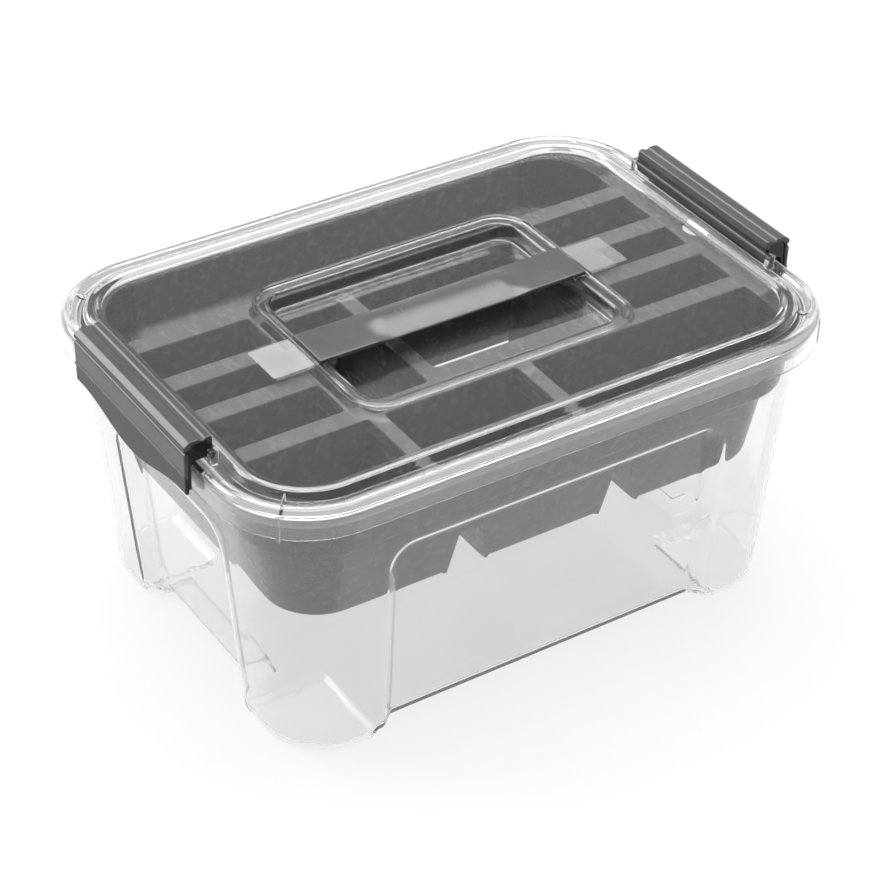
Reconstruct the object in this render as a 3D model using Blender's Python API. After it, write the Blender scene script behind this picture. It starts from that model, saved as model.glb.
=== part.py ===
"""Clear storage box with a lift-off lid, a dark lift-out compartment tray, a recessed carry handle
and two swinging end clips.  Metres, +Z up, long axis X, short axis Y, feet on z = 0."""
import bpy
import bmesh
import math
from mathutils import Matrix, Vector

# ---------------------------------------------------------------- driving dimensions
GAP = 0.0003            # clearance between touching pieces
WALL = 0.0022           # clear wall of the tub

# tub: half sizes of the outside at the feet and their growth per metre of height
TUB_A0, TUB_B0, TUB_R0 = 0.1725, 0.1235, 0.040
TUB_KA, TUB_KB, TUB_KR = 0.1017, 0.0444, 0.067
TUB_LEDGE_Z = 0.1768    # inside ledge that carries the tray
TUB_FLANGE_Z = 0.1805   # underside of the outward flange
TUB_RIM_Z = 0.1828      # top of the rim
FLANGE_A, FLANGE_B, FLANGE_R = 0.1973, 0.1383, 0.0563
FLOOR_Z = 0.0040        # underside of the floor between the feet
FOOT_X, FOOT_Y = 0.121, 0.064   # inner corner of each foot pad
PANEL_DEPTH = 0.0080    # sunk panels in the walls
PANEL_FLARE_W, PANEL_FLARE_Z = 1.25, 1.0
LONG_PANEL_HALF, LONG_PANEL_TOP = 0.1055, 0.130
SHORT_PANEL_HALF, SHORT_PANEL_TOP = 0.0520, 0.128
ARCH_HALF, ARCH_Z, ARCH_IN = 0.046, 0.014, 0.020

# lid
LID_A, LID_B, LID_R = 0.2000, 0.1410, 0.0590
SKIRT_Z = 0.1685
PLATE_Z = 0.1865        # top face of the flat plate
PLATE_T = 0.0020
BEAD_Z = 0.1910
POCKET_A, POCKET_B, POCKET_R = 0.0935, 0.0700, 0.0200   # outline at the plate
WELL_A, WELL_B, WELL_R = 0.0860, 0.0625, 0.0130         # walls of the pocket below its step
POCKET_Z = 0.1745       # top face of the pocket floor
SLOT_HALF = 0.0132

# tray
TRAY_Z = 0.1790
TRAY_RIM_A, TRAY_RIM_B, TRAY_RIM_R = 0.1893, 0.1304, 0.0495
TRAY_UP_A, TRAY_UP_B, TRAY_UP_R = 0.1830, 0.1265, 0.0455
TRAY_STEP_Z = 0.1430
TRAY_LOW_A, TRAY_LOW_B, TRAY_LOW_R = 0.1740, 0.1168, 0.040
TRAY_BOT_A, TRAY_BOT_B, TRAY_BOT_R = 0.1655, 0.1095, 0.034
TRAY_BOT_Z = 0.0880
TRAY_WALL = 0.0022
TRAY_MID_A, TRAY_MID_B, TRAY_MID_Z = 0.0990, 0.0660, 0.1705   # lowered middle under the lid pocket
CELL_X = 0.1710
RIB_OUT = (0.0545, 0.0685)     # outer long ribs, both signs of y
RIB_IN = (0.0110, 0.0255)      # inner long ribs
FRONT_RIBS = (-0.0875, 0.0110)  # cross ribs of the front row
NOTCHES = (-0.0530, 0.0530)     # gaps in the underside of the front row

RIB_SPLIT, MID_SPLIT = 0.0615, 0.0966   # planes that part the tray into its cups

# handle
GRIP_HALF, GRIP_W = 0.0922, 0.0310
GRIP_END_Z, GRIP_MID_Z = 0.1888, 0.1908
GRIP_END_T, GRIP_MID_T = 0.0034, 0.0062
TONGUE_Z, TONGUE_T, TONGUE_W = 0.1812, 0.0016, 0.0240
TONGUE_END = 0.1180

# clips
CLIP_HALF = 0.0650
CLIP_TOP = 0.2030
CLIP_OUT = 0.2065
CLIP_T = 0.0022
CLIP_IN = 0.1884        # inner face of the inner leg
HINGE_X, HINGE_Z = 0.1896, 0.1928
CLIP_END_Z, CLIP_MID_Z = 0.1690, 0.1590

SEG = 8                 # segments per rounded corner

# ---------------------------------------------------------------- start clean
for ob in list(bpy.data.objects):
    bpy.data.objects.remove(ob, do_unlink=True)
for col in list(bpy.data.collections):
    bpy.data.collections.remove(col)

PARTS = bpy.data.collections.new("toolbox_with_tray")
GUIDES = bpy.data.collections.new("guides")
bpy.context.scene.collection.children.link(PARTS)
bpy.context.scene.collection.children.link(GUIDES)


# ---------------------------------------------------------------- helpers
def link(me, name, col):
    ob = bpy.data.objects.new(name, me)
    col.objects.link(ob)
    if col is GUIDES:
        ob.hide_render = True
        ob.display_type = "WIRE"
    return ob


def rrect(a, b, r, z, cx=0.0, cy=0.0, seg=SEG):
    """Rounded rectangle, half sizes a and b, as a counter-clockwise ring."""
    r = max(min(r, a - 1e-4, b - 1e-4), 2e-4)
    pts = []
    for sx, sy, t0 in ((1, 1, 0), (-1, 1, 90), (-1, -1, 180), (1, -1, 270)):
        for k in range(seg + 1):
            t = math.radians(t0 + 90.0 * k / seg)
            pts.append((cx + sx * (a - r) + r * math.cos(t), cy + sy * (b - r) + r * math.sin(t), z))
    return pts


def loft(name, rings, col, smooth=True):
    """Closed body through rings of the same length, capped at both ends."""
    bm = bmesh.new()
    rows = [[bm.verts.new(p) for p in ring] for ring in rings]
    n = len(rows[0])
    for lo, hi in zip(rows[:-1], rows[1:]):
        for k in range(n):
            bm.faces.new((lo[k], lo[(k + 1) % n], hi[(k + 1) % n], hi[k]))
    bm.faces.new(list(reversed(rows[0])))
    bm.faces.new(rows[-1])
    bmesh.ops.recalc_face_normals(bm, faces=bm.faces)
    me = bpy.data.meshes.new(name)
    bm.to_mesh(me)
    bm.free()
    if smooth:
        me.shade_smooth()
        me.set_sharp_from_angle(angle=math.radians(32))
    return link(me, name, col)


def box(name, x0, x1, y0, y1, z0, z1, col=None, r=0.0, draft=0.0, seg=3):
    """Box with rounded upright edges; draft shrinks it towards z0."""
    col = col or GUIDES
    cx, cy = (x0 + x1) / 2, (y0 + y1) / 2
    a, b = (x1 - x0) / 2, (y1 - y0) / 2
    if r <= 0:
        bm = bmesh.new()
        bmesh.ops.create_cube(bm, size=1.0)
        for v in bm.verts:
            low = v.co.z < 0
            v.co = ((cx + v.co.x * 2 * (a - (draft if low else 0))), (cy + v.co.y * 2 * (b - (draft if low else 0))), z0 if low else z1)
        me = bpy.data.meshes.new(name)
        bm.to_mesh(me)
        bm.free()
        return link(me, name, col)
    return loft(name, [rrect(a - draft, b - draft, max(r - draft * 0.3, 0.001), z0, cx, cy, seg), rrect(a, b, r, z1, cx, cy, seg)], col)


def extrude(name, outline, move, col, smooth=True):
    """Flat outline pushed along a vector into a closed body."""
    bm = bmesh.new()
    face = bm.faces.new([bm.verts.new(p) for p in outline])
    made = bmesh.ops.extrude_face_region(bm, geom=[face], use_keep_orig=True)
    bmesh.ops.translate(bm, vec=move, verts=[g for g in made["geom"] if isinstance(g, bmesh.types.BMVert)])
    bmesh.ops.recalc_face_normals(bm, faces=bm.faces)
    me = bpy.data.meshes.new(name)
    bm.to_mesh(me)
    bm.free()
    if smooth:
        me.shade_smooth()
        me.set_sharp_from_angle(angle=math.radians(32))
    return link(me, name, col)


def prism(name, profile, y0, y1, col, smooth=True):
    """Body with a constant x-z profile between two y planes."""
    return extrude(name, [(x, y0, z) for x, z in profile], (0, y1 - y0, 0), col, smooth)


def corner_fin(name, sx, sy, cx, cy, profile, thick):
    """Thin upright fin on the diagonal of a corner; profile is (distance from the corner's centre, height)."""
    d = Vector((sx, sy, 0)).normalized()
    n = Vector((-d.y, d.x, 0)) * (thick / 2)
    return extrude(name, [(cx + d.x * u - n.x, cy + d.y * u - n.y, z) for u, z in profile], n * 2, GUIDES, smooth=False)


def cylinder(name, radius, depth, centre, rotation=(0.0, 0.0, 0.0), sides=20):
    """Cylinder guide at centre."""
    bpy.ops.mesh.primitive_cylinder_add(vertices=sides, radius=radius, depth=depth, location=centre, rotation=rotation)
    c = bpy.context.object
    c.name = name
    for k in list(c.users_collection):
        k.objects.unlink(c)
    GUIDES.objects.link(c)
    c.hide_render = True
    c.display_type = "WIRE"
    return c


def boolean(ob, other, op):
    m = ob.modifiers.new("b_" + other.name, "BOOLEAN")
    m.operation = op
    m.solver = "EXACT"
    m.object = other


def material(name, rgb, rough, transmission=0.0, ior=1.49):
    m = bpy.data.materials.new(name)
    m.use_nodes = True
    p = m.node_tree.nodes["Principled BSDF"]
    p.inputs["Base Color"].default_value = (*rgb, 1)
    p.inputs["Roughness"].default_value = rough
    p.inputs["Transmission Weight"].default_value = transmission
    p.inputs["IOR"].default_value = ior
    return m


def dress(ob, mat):
    ob.data.materials.clear()
    ob.data.materials.append(mat)


# ---------------------------------------------------------------- tub
def tub_a(z):
    return TUB_A0 + TUB_KA * z


def tub_b(z):
    return TUB_B0 + TUB_KB * z


def tub_r(z):
    return TUB_R0 + TUB_KR * z


def tub_ring(z, inset):
    return rrect(tub_a(z) - inset, tub_b(z) - inset, tub_r(z) - inset, z)


zt = 0.1725
tub = loft("tub", [
    tub_ring(0.0, 0.0030),
    tub_ring(0.0030, 0.0),
    tub_ring(zt, 0.0),
    rrect(tub_a(zt) + 0.0020, tub_b(zt) + 0.0020, tub_r(zt) + 0.0020, 0.1755),
    rrect(tub_a(zt) + 0.0020, tub_b(zt) + 0.0020, tub_r(zt) + 0.0020, TUB_FLANGE_Z),
    rrect(FLANGE_A - 0.0018, FLANGE_B - 0.0018, FLANGE_R - 0.0018, TUB_FLANGE_Z),
    rrect(FLANGE_A - 0.0018, FLANGE_B - 0.0018, FLANGE_R - 0.0018, 0.1745),
    rrect(FLANGE_A, FLANGE_B, FLANGE_R, 0.1745),
    rrect(FLANGE_A, FLANGE_B, FLANGE_R, TUB_RIM_Z),
    rrect(tub_a(zt) - 0.0002, tub_b(zt) - 0.0002, tub_r(zt) - 0.0002, TUB_RIM_Z),
    rrect(tub_a(zt) - 0.0002, tub_b(zt) - 0.0002, tub_r(zt) - 0.0002, TUB_LEDGE_Z),
    rrect(tub_a(zt) - WALL, tub_b(zt) - WALL, tub_r(zt) - WALL, TUB_LEDGE_Z - 0.0004),
    tub_ring(0.0060, WALL),
    tub_ring(WALL, WALL + 0.0034),
], PARTS)


def panel(name, side, half, top, grow):
    """Sunk panel on one wall: a rounded-top loft that flares outwards.  side: 'y' or 'x' with a sign."""
    axis, sign = side
    wall = tub_b if axis == "y" else tub_a
    inner_n = PANEL_DEPTH + grow
    rings = []
    for out in (0.0, 0.018):
        w = half + grow * 0.35 + out * PANEL_FLARE_W
        zz = top + grow * 0.41 + out * PANEL_FLARE_Z
        r = 0.011 + out * 0.9
        loop = [(-w, -0.012)]
        for k in range(7):
            t = math.radians(180 - 15 * k)
            loop.append((-w + r + r * math.cos(t), zz - r + r * math.sin(t)))
        for k in range(7):
            t = math.radians(90 - 15 * k)
            loop.append((w - r + r * math.cos(t), zz - r + r * math.sin(t)))
        loop.append((w, -0.012))
        ring = []
        for u, z in loop:
            n = sign * (wall(z) - inner_n + out)
            ring.append((u, n, z) if axis == "y" else (n, u, z))
        rings.append(ring)
    return loft(name, rings, GUIDES, smooth=False)


def arch(name, sign, grow):
    """Notch under a short side, between two feet."""
    x_in = TUB_A0 - ARCH_IN - PANEL_DEPTH - grow
    rings = []
    for z, e in ((-0.012, 0.004), (ARCH_Z - 0.004 + grow, 0.001), (ARCH_Z + grow, -0.003)):
        y = ARCH_HALF + e + grow
        xi = x_in - e * 0.5
        rings.append([(sign * xi, -y, z), (sign * 0.21, -y, z), (sign * 0.21, y, z), (sign * xi, y, z)])
    return loft(name, rings, GUIDES, smooth=False)


core = loft("tub_core", [tub_ring(0.0008, 0.0034), tub_ring(0.0034, 0.0006), tub_ring(0.1700, 0.0006)], GUIDES)

sides = [(("y", -1), LONG_PANEL_HALF, LONG_PANEL_TOP), (("y", 1), LONG_PANEL_HALF, LONG_PANEL_TOP),
         (("x", -1), SHORT_PANEL_HALF, SHORT_PANEL_TOP), (("x", 1), SHORT_PANEL_HALF, SHORT_PANEL_TOP)]
cutters = []
for i, (side, half, top) in enumerate(sides):
    bump = panel("panel_bump_%d" % i, side, half, top, WALL)
    boolean(bump, core, "INTERSECT")
    boolean(tub, bump, "UNION")
    cutters.append(panel("panel_cut_%d" % i, side, half, top, 0.0))
for i, sign in enumerate((-1, 1)):
    bump = arch("arch_bump_%d" % i, sign, WALL)
    boolean(bump, core, "INTERSECT")
    boolean(tub, bump, "UNION")
    cutters.append(arch("arch_cut_%d" % i, sign, 0.0))
# raised floor between the feet: a plus-shaped plate added inside, then cleared from below
for i, (hx, hy) in enumerate(((FOOT_X + WALL, tub_b(0.005) - 0.0009), (tub_a(0.005) - 0.0009, FOOT_Y + WALL))):
    plate = box("floor_plate_%d" % i, -hx, hx, -hy, hy, 0.0012, FLOOR_Z + WALL)
    boolean(plate, core, "INTERSECT")
    boolean(tub, plate, "UNION")
    hx2, hy2 = (FOOT_X, 0.2) if i == 0 else (0.25, FOOT_Y)
    cutters.append(box("floor_cut_%d" % i, -hx2, hx2, -hy2, hy2, -0.012, FLOOR_Z))
for c in cutters:
    boolean(tub, c, "DIFFERENCE")
# gussets under the flange at the four corners
for i, (sx, sy) in enumerate(((1, 1), (-1, 1), (-1, -1), (1, -1))):
    cx, cy = sx * (FLANGE_A - FLANGE_R), sy * (FLANGE_B - FLANGE_R)
    prof = ((FLANGE_R - 0.0105, 0.1600), (FLANGE_R - 0.0080, 0.1600), (FLANGE_R - 0.0016, 0.1735), (FLANGE_R - 0.0016, 0.1815), (FLANGE_R - 0.0060, 0.1815))
    boolean(tub, corner_fin("gusset_%d" % i, sx, sy, cx, cy, prof, 0.0016), "UNION")


# ---------------------------------------------------------------- lid
def lid_ring(off, z):
    """Ring set in by off from the outside of the lid."""
    return rrect(LID_A - off, LID_B - off, LID_R - off, z)


lid = loft("lid", [
    lid_ring(0.0225, PLATE_Z - PLATE_T),
    lid_ring(0.0195, 0.1886),
    lid_ring(0.0160, 0.1886),
    lid_ring(0.0138, 0.1831),
    lid_ring(0.0022, 0.1831),
    lid_ring(0.0020, SKIRT_Z),
    lid_ring(0.0000, SKIRT_Z),
    lid_ring(0.0000, 0.1835),
    lid_ring(0.0010, 0.1862),
    lid_ring(0.0035, 0.1876),
    lid_ring(0.0068, 0.1876),
    lid_ring(0.0085, 0.1852),
    lid_ring(0.0132, 0.1852),
    lid_ring(0.0148, 0.1892),
    lid_ring(0.0170, BEAD_Z),
    lid_ring(0.0195, BEAD_Z),
    lid_ring(0.0222, 0.1888),
    lid_ring(0.0236, PLATE_Z),
], PARTS)
pocket_body = loft("pocket_body", [
    rrect(WELL_A + 0.0008, WELL_B + 0.0008, WELL_R + 0.001, POCKET_Z - 0.0018),
    rrect(WELL_A + 0.0020, WELL_B + 0.0020, WELL_R + 0.002, POCKET_Z + 0.0020),
    rrect(WELL_A + 0.0026, WELL_B + 0.0026, WELL_R + 0.003, 0.1832),
    rrect(POCKET_A + 0.0022, POCKET_B + 0.0022, POCKET_R + 0.002, 0.1832),
    rrect(POCKET_A + 0.0022, POCKET_B + 0.0022, POCKET_R + 0.002, PLATE_Z - 0.0006),
], GUIDES)
boolean(lid, pocket_body, "UNION")
pocket_cut = loft("pocket_cut", [
    rrect(WELL_A - 0.0025, WELL_B - 0.0025, WELL_R - 0.002, POCKET_Z),
    rrect(WELL_A - 0.0006, WELL_B - 0.0006, WELL_R, POCKET_Z + 0.0022),
    rrect(WELL_A, WELL_B, WELL_R, 0.1850),
    rrect(POCKET_A - 0.0010, POCKET_B - 0.0010, POCKET_R, 0.1850),
    rrect(POCKET_A + 0.0006, POCKET_B + 0.0006, POCKET_R, PLATE_Z + 0.002),
], GUIDES)
boolean(lid, pocket_cut, "DIFFERENCE")
for i, s in enumerate((-1, 1)):
    # slot for the handle's tongue, and a landing sunk half a millimetre into the plate
    boolean(lid, box("tongue_slot_%d" % i, min(s * 0.080, s * 0.0975), max(s * 0.080, s * 0.0975), -SLOT_HALF, SLOT_HALF, 0.1788, 0.1822), "DIFFERENCE")
    boolean(lid, box("landing_%d" % i, min(s * 0.0950, s * 0.1225), max(s * 0.0950, s * 0.1225), -0.0158, 0.0158, PLATE_Z - 0.0006, PLATE_Z + 0.004), "DIFFERENCE")
# radial ribs across the groove at the corners
for i, (sx, sy) in enumerate(((1, 1), (-1, 1), (-1, -1), (1, -1))):
    cx, cy = sx * (LID_A - LID_R), sy * (LID_B - LID_R)
    prof = ((LID_R - 0.0165, 0.1846), (LID_R - 0.0050, 0.1846), (LID_R - 0.0050, 0.1870), (LID_R - 0.0165, 0.1895))
    boolean(lid, corner_fin("corner_rib_%d" % i, sx, sy, cx, cy, prof, 0.0014), "UNION")
# ears that carry the clip pins
for i, sx in enumerate((-1, 1)):
    for j, sy in enumerate((-1, 1)):
        y0, y1 = sorted((sy * (CLIP_HALF + GAP), sy * (CLIP_HALF + 0.0042)))
        x0, x1 = sorted((sx * (HINGE_X - 0.0030), sx * (HINGE_X + 0.0030)))
        ear = box("ear_%d%d" % (i, j), x0, x1, y0, y1, 0.1846, HINGE_Z + 0.0026)
        boolean(lid, ear, "UNION")
        hole = cylinder("ear_hole_%d%d" % (i, j), 0.0015, 0.004, (sx * HINGE_X, sy * (CLIP_HALF + 0.0010), HINGE_Z), (math.pi / 2, 0, 0), 16)
        boolean(lid, hole, "DIFFERENCE")


# ---------------------------------------------------------------- tray
tray = loft("tray", [
    rrect(TRAY_BOT_A - 0.003, TRAY_BOT_B - 0.003, TRAY_BOT_R - 0.003, TRAY_BOT_Z),
    rrect(TRAY_BOT_A, TRAY_BOT_B, TRAY_BOT_R, TRAY_BOT_Z + 0.003),
    rrect(TRAY_LOW_A, TRAY_LOW_B, TRAY_LOW_R, TRAY_STEP_Z - 0.004),
    rrect(TRAY_LOW_A + 0.002, TRAY_LOW_B + 0.002, TRAY_LOW_R + 0.002, TRAY_STEP_Z),
    rrect(TRAY_UP_A - 0.002, TRAY_UP_B - 0.002, TRAY_UP_R - 0.001, TRAY_STEP_Z),
    rrect(TRAY_UP_A - 0.0006, TRAY_UP_B - 0.0006, TRAY_UP_R, TRAY_STEP_Z + 0.002),
    rrect(TRAY_UP_A, TRAY_UP_B, TRAY_UP_R, TRAY_Z - 0.0020),
    rrect(TRAY_RIM_A, TRAY_RIM_B, TRAY_RIM_R, TRAY_Z - 0.0019),
    rrect(TRAY_RIM_A, TRAY_RIM_B, TRAY_RIM_R, TRAY_Z - 0.0004),
    rrect(TRAY_RIM_A - 0.0006, TRAY_RIM_B - 0.0006, TRAY_RIM_R - 0.0006, TRAY_Z),
], PARTS)

floor = TRAY_BOT_Z + TRAY_WALL
wells = []
x0, x1 = -CELL_X, CELL_X
lim = TRAY_UP_B - 0.0020


def bounded(name, xa, xb, ya, yb, top, inner):
    """Compartment cutter: a drafted box kept inside the tray's own inner shape."""
    c = box(name, xa, xb, ya, yb, floor, top + 0.004, r=0.005, draft=0.0028)
    if inner:
        boolean(c, inner_shape, "INTERSECT")
    wells.append(c)
    return c


inner_shape = loft("tray_inner", [
    rrect(TRAY_BOT_A - 0.0052, TRAY_BOT_B - 0.0052, TRAY_BOT_R - 0.004, floor - 0.0002),
    rrect(TRAY_BOT_A - TRAY_WALL, TRAY_BOT_B - TRAY_WALL, TRAY_BOT_R - 0.002, floor + 0.003),
    rrect(TRAY_LOW_A - 0.0032, TRAY_LOW_B - TRAY_WALL, TRAY_LOW_R - 0.002, TRAY_STEP_Z - 0.0010),
    rrect(CELL_X + 0.0001, TRAY_UP_B - 0.0024, TRAY_UP_R - 0.006, TRAY_STEP_Z + 0.0022),
    rrect(CELL_X + 0.0002, lim, TRAY_UP_R - 0.006, TRAY_Z + 0.01),
], GUIDES)

o0, o1 = RIB_OUT
i0, i1 = RIB_IN
f0, f1 = FRONT_RIBS
h = 0.0050
bounded("cell_back", x0 - 0.01, x1 + 0.01, o1, lim + 0.01, TRAY_Z, True)
bounded("cell_front_a", x0 - 0.01, f0 - h, -lim - 0.01, -o1, TRAY_Z, True)
bounded("cell_front_b", f0 + h, f1 - h, -lim - 0.01, -o1, TRAY_Z, True)
bounded("cell_front_c", f1 + h, x1 + 0.01, -lim - 0.01, -o1, TRAY_Z, True)
for s in (-1, 1):
    xa, xb = sorted((s * (TRAY_MID_A + 0.0005), s * (CELL_X + 0.01)))
    tag = "l" if s < 0 else "r"
    bounded("cell_mid_back_" + tag, xa, xb, i1, o0, TRAY_Z, True)
    bounded("cell_centre_" + tag, xa, xb, -i0, i0, TRAY_Z, True)
    bounded("cell_mid_front_" + tag, xa, xb, -o0, -i1, TRAY_Z, True)
bounded("well_left", -0.0905, -0.0380, -0.0440, 0.0580, TRAY_MID_Z, False)
bounded("well_right", -0.0270, 0.0905, -0.0340, 0.0580, TRAY_MID_Z, False)
wells.append(box("mid_lowered", -TRAY_MID_A + 0.002, TRAY_MID_A - 0.002, -TRAY_MID_B, TRAY_MID_B, TRAY_MID_Z, TRAY_Z + 0.004, r=0.012))
# humps over the underside gaps of the front row, then the gaps
humps, gaps = [], []
for i, nx in enumerate(NOTCHES):
    for grow, bag, tag in ((TRAY_WALL, humps, "hump"), (0.0, gaps, "gap")):
        y_far = -o1 - 0.002 if tag == "gap" else -o1 + 0.004
        y_near = -0.140 if tag == "gap" else -TRAY_LOW_B + 0.008
        prof = ((nx - 0.0130 - grow, TRAY_BOT_Z - 0.004 if tag == "gap" else TRAY_BOT_Z + 0.0008), (nx - 0.0075 - grow, 0.1180 + grow), (nx + 0.0075 + grow, 0.1180 + grow), (nx + 0.0130 + grow, TRAY_BOT_Z - 0.004 if tag == "gap" else TRAY_BOT_Z + 0.0008))
        bag.append(prism("%s_%d" % (tag, i), list(reversed(prof)), y_near, y_far, GUIDES, smooth=False))
for c in wells:
    boolean(tray, c, "DIFFERENCE")
for c in humps:
    boolean(tray, c, "UNION")
for c in gaps:
    boolean(tray, c, "DIFFERENCE")


def rib_hollow(name, xa, xb, ya, yb, top):
    """Hollow underside of a rib, open below and wider there."""
    t = TRAY_WALL
    e = 0.0024
    c = box(name, xa - e, xb + e, ya + t - e, yb - t + e, TRAY_BOT_Z - 0.004, top)
    for v in c.data.vertices:
        if v.co.z > top - 0.001:
            v.co.x += e if v.co.x < (xa + xb) / 2 else -e
            v.co.y += e if v.co.y < (ya + yb) / 2 else -e
    boolean(tray, c, "DIFFERENCE")


top = TRAY_Z - 0.0020
mid_top = TRAY_MID_Z - 0.0020
xe = 0.1580
for s in (-1, 1):
    tag = "b" if s > 0 else "f"
    ya, yb = sorted((s * o0, s * o1))
    rib_hollow("hollow_out_l" + tag, -xe, -TRAY_MID_A - 0.0005, ya, yb, top)
    rib_hollow("hollow_out_r" + tag, TRAY_MID_A + 0.0005, xe, ya, yb, top)
    rib_hollow("hollow_out_m" + tag, -TRAY_MID_A + 0.0030, TRAY_MID_A - 0.0030, ya, yb, mid_top)
    ya, yb = sorted((s * i0, s * i1))
    rib_hollow("hollow_in_l" + tag, -xe, -TRAY_MID_A - 0.0020, ya, yb, top)
    rib_hollow("hollow_in_r" + tag, TRAY_MID_A + 0.0020, xe, ya, yb, top)
# thumb scoops in the wide end bands
for i, s in enumerate((-1, 1)):
    c = cylinder("thumb_%d" % i, 0.0110, 0.012, (s * 0.1895, 0, TRAY_Z - 0.001), sides=24)
    boolean(tray, c, "DIFFERENCE")


# the tray is parted along its ribs into seven simple cups that share one body
far = 0.25
tray_parts = []
for name, bounds in (("tray_back_row", (-far, far, RIB_SPLIT + GAP / 2, far)), 
                     ("tray_front_left", (-far, f0 - GAP / 2, -far, -RIB_SPLIT - GAP / 2)),
                     ("tray_front_middle", (f0 + GAP / 2, f1 - GAP / 2, -far, -RIB_SPLIT - GAP / 2)),
                     ("tray_front_right", (f1 + GAP / 2, far, -far, -RIB_SPLIT - GAP / 2)),
                     ("tray_left_cells", (-far, -MID_SPLIT - GAP / 2, -RIB_SPLIT + GAP / 2, RIB_SPLIT - GAP / 2)),
                     ("tray_right_cells", (MID_SPLIT + GAP / 2, far, -RIB_SPLIT + GAP / 2, RIB_SPLIT - GAP / 2)),
                     ("tray_middle_wells", (-MID_SPLIT + GAP / 2, MID_SPLIT - GAP / 2, -RIB_SPLIT + GAP / 2, RIB_SPLIT - GAP / 2))):
    t = tray.copy()
    t.data = tray.data.copy()
    t.name = name
    PARTS.objects.link(t)
    boolean(t, box("region_" + name, *bounds, 0.05, 0.25), "INTERSECT")
    tray_parts.append(t)
bpy.data.objects.remove(tray, do_unlink=True)


# ---------------------------------------------------------------- handle
def grip_section(x):
    """Rounded strap section: flat at the ends, arched and fuller in the middle."""
    u = abs(x) / GRIP_HALF
    k = 0.0 if u > 0.62 else (1.0 if u < 0.40 else 0.5 + 0.5 * math.cos(math.pi * (u - 0.40) / 0.22))
    zt_, th = GRIP_END_Z + k * (GRIP_MID_Z - GRIP_END_Z), GRIP_END_T + k * (GRIP_MID_T - GRIP_END_T)
    w = GRIP_W / 2 - 0.0006 * k
    crown = 0.0003 + 0.0022 * k
    pts = []
    for j in range(9):
        y = -w + 0.0012 + (2 * w - 0.0024) * j / 8
        pts.append((x, y, zt_ - crown * (y / w) ** 2))
    pts.append((x, w, zt_ - crown - 0.0012))
    pts.append((x, w, zt_ - th + 0.0010))
    pts.append((x, w - 0.0010, zt_ - th))
    pts.append((x, -w + 0.0010, zt_ - th))
    pts.append((x, -w, zt_ - th + 0.0010))
    pts.append((x, -w, zt_ - crown - 0.0012))
    return pts


xs = [-GRIP_HALF, -0.075, -0.0592, -0.0555, -0.052, -0.0485, -0.045, -0.0415, -0.0382, -0.018, 0.0, 0.018, 0.0382, 0.0415, 0.045, 0.0485, 0.052, 0.0555, 0.0592, 0.075, GRIP_HALF]
grip = loft("handle_grip", [grip_section(x) for x in xs], PARTS)

tongues = []
for s, name in ((-1, "handle_tongue_left"), (1, "handle_tongue_right")):
    # post under the grip, then a strap that runs out under the lid plate and ends in a stop
    zb = GRIP_END_Z - GRIP_END_T - GAP
    z0, z1 = TONGUE_Z - TONGUE_T, TONGUE_Z
    prof = [(s * 0.0790, zb), (s * 0.0790, z0 + 0.0008), (s * 0.0798, z0), (s * TONGUE_END, z0), (s * TONGUE_END, z1), (s * 0.0850, z1), (s * 0.0842, z1 + 0.0008), (s * 0.0842, zb)]
    if s < 0:
        prof = list(reversed(prof))
    t = prism(name, prof, -TONGUE_W / 2, TONGUE_W / 2, PARTS)
    xa, xb = sorted((s * 0.1120, s * TONGUE_END))
    stop = box("stop_" + name, xa, xb, -0.0150, 0.0150, z0, z1 + 0.0012)
    boolean(t, stop, "UNION")
    tongues.append(t)


# ---------------------------------------------------------------- clips
def clip_profile(s, zlow, flare):
    """Closed inverted-U section, x outward; the outer leg ends at zlow with a small outward lip."""
    r, t = 0.0055, CLIP_T
    out, inn = CLIP_OUT, CLIP_IN
    pts = [(inn, 0.1886), (inn, CLIP_TOP - 0.0015), (inn + 0.0006, CLIP_TOP - 0.0004), (inn + 0.0016, CLIP_TOP)]
    for k in range(6):
        a = math.radians(90 - 18 * k)
        pts.append((out - r + r * math.cos(a), CLIP_TOP - r + r * math.sin(a)))
    pts += [(out, zlow + 0.004), (out + flare, zlow + 0.0006), (out + flare - 0.0004, zlow), (out + flare - t + 0.0004, zlow), (out + flare - t, zlow + 0.0006), (out - t, zlow + 0.004)]
    ri = r - t
    for k in range(6):
        a = math.radians(18 * k)
        pts.append((out - t - ri + ri * math.cos(a), CLIP_TOP - t - ri + ri * math.sin(a)))
    pts += [(inn + t + 0.0010, CLIP_TOP - t), (inn + t, CLIP_TOP - t - 0.0010), (inn + t, 0.1886)]
    return [(s * x, z) for x, z in pts]


clips = []
for s, name in ((-1, "clip_left"), (1, "clip_right")):
    ys = [-1.0, -0.985, -0.92, -0.8, -0.62, -0.42, -0.2, 0.0, 0.2, 0.42, 0.62, 0.8, 0.92, 0.985, 1.0]
    rings = []
    for u in ys:
        k = 0.5 + 0.5 * math.cos(math.pi * min(abs(u) / 0.86, 1.0))
        zlow = CLIP_END_Z + (CLIP_MID_Z - CLIP_END_Z) * k
        rings.append([(x, u * CLIP_HALF, z) for x, z in clip_profile(s, zlow, 0.0010 * k + 0.0004)])
    c = loft(name, rings, PARTS)
    # round barrel along the hinge and the two pins
    for tag, rad, half_len in (("barrel", 0.0021, CLIP_HALF - 0.0004), ("pin", 0.0012, CLIP_HALF + 0.0024)):
        g = cylinder("%s_%s" % (tag, name), rad, 2 * half_len, (s * HINGE_X, 0, HINGE_Z), (math.pi / 2, 0, 0))
        boolean(c, g, "UNION")
    clips.append((c, s))

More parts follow.
